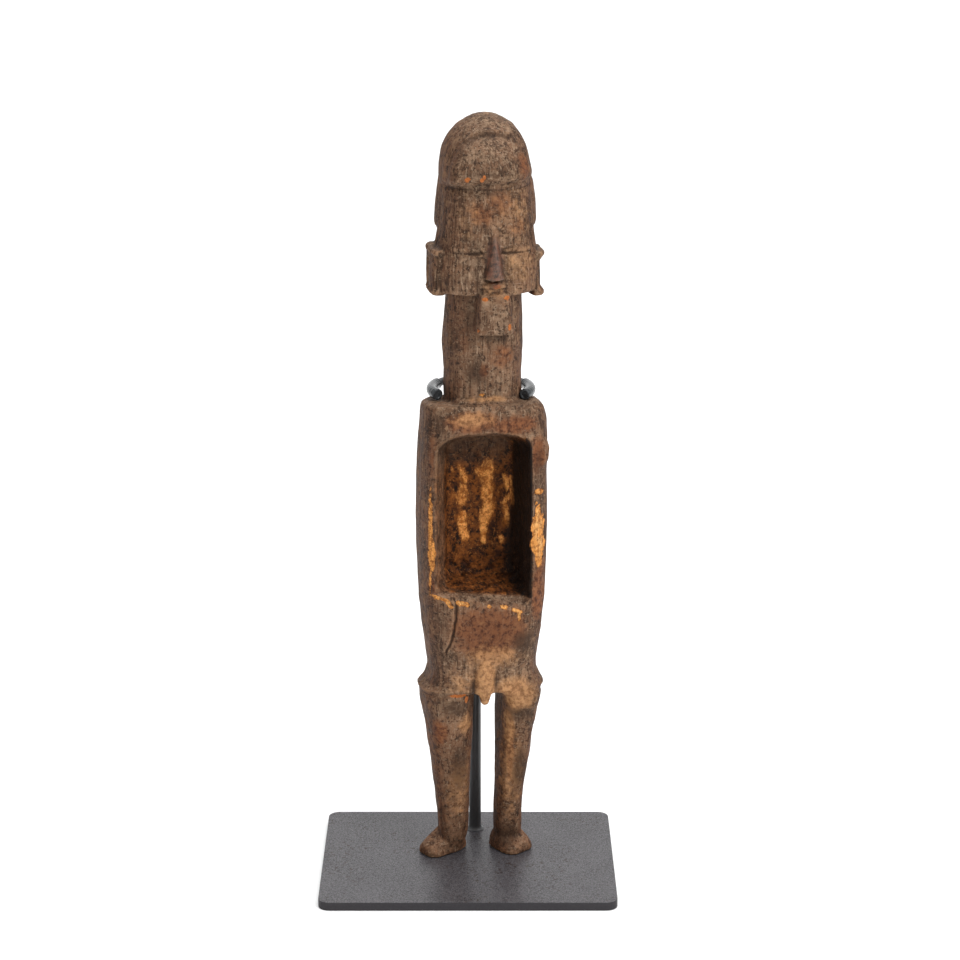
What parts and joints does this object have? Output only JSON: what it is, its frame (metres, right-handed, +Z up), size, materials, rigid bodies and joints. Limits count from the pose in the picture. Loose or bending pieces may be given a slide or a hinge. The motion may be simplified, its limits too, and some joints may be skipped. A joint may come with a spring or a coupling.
{
  "type": "teke figure",
  "caption": "Carved wooden standing figure with an open belly hollow and a trapezoid beard, held by a neck fork on a post and flat base plate.",
  "frame": {"origin": "centre of the base plate's underside", "axes": "+Z up along the figure, the stand's front looks along -Y, +X to the right of someone facing the front"},
  "size_m": [0.152, 0.114, 0.3942],
  "materials": {
    "figure_wood": "old dark patina, worn to bare wood along the edges of the hollow",
    "plate_paint": "dark grey satin, dusty",
    "post_paint": "dark grey satin",
    "fork_paint": "dark grey satin",
    "sleeve_plastic": "glossy soft tube"
  },
  "bodies": {
    "root": {"figure": "figure_wood", "base_plate": "plate_paint", "post": "post_paint", "neck_fork": "fork_paint", "fork_sleeve_left": "sleeve_plastic", "fork_sleeve_right": "sleeve_plastic"}
  },
  "joints": []
}
